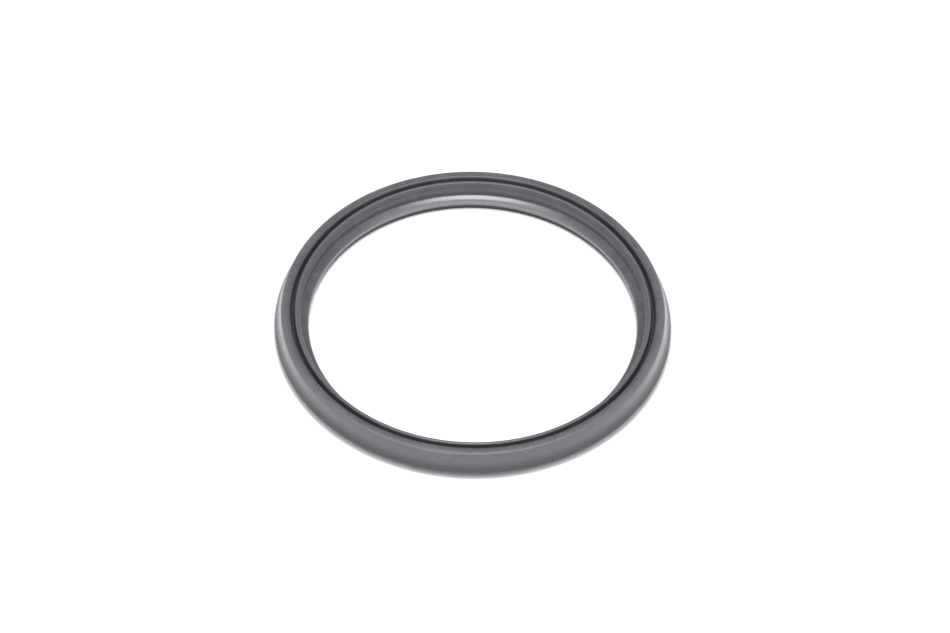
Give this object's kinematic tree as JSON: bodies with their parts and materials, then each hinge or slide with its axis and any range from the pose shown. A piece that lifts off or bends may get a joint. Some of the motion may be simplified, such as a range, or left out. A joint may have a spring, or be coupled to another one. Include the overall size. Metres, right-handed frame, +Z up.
{
  "type": "lip seal ring",
  "caption": "Round moulded rubber seal ring with an outer lip and an inner lip either side of a groove, and a land that grips a hose spigot.",
  "frame": {"origin": "centre of the ring, on the plane its foot rests on", "axes": "+Z up along the ring's axis, towards the groove; X and Y across the ring"},
  "size_m": [0.07, 0.07, 0.0052],
  "materials": {
    "rubber": "satin moulded rubber, with a finer, drier grain on the rim"
  },
  "bodies": {
    "root": {"seal_ring": "rubber"}
  },
  "joints": []
}
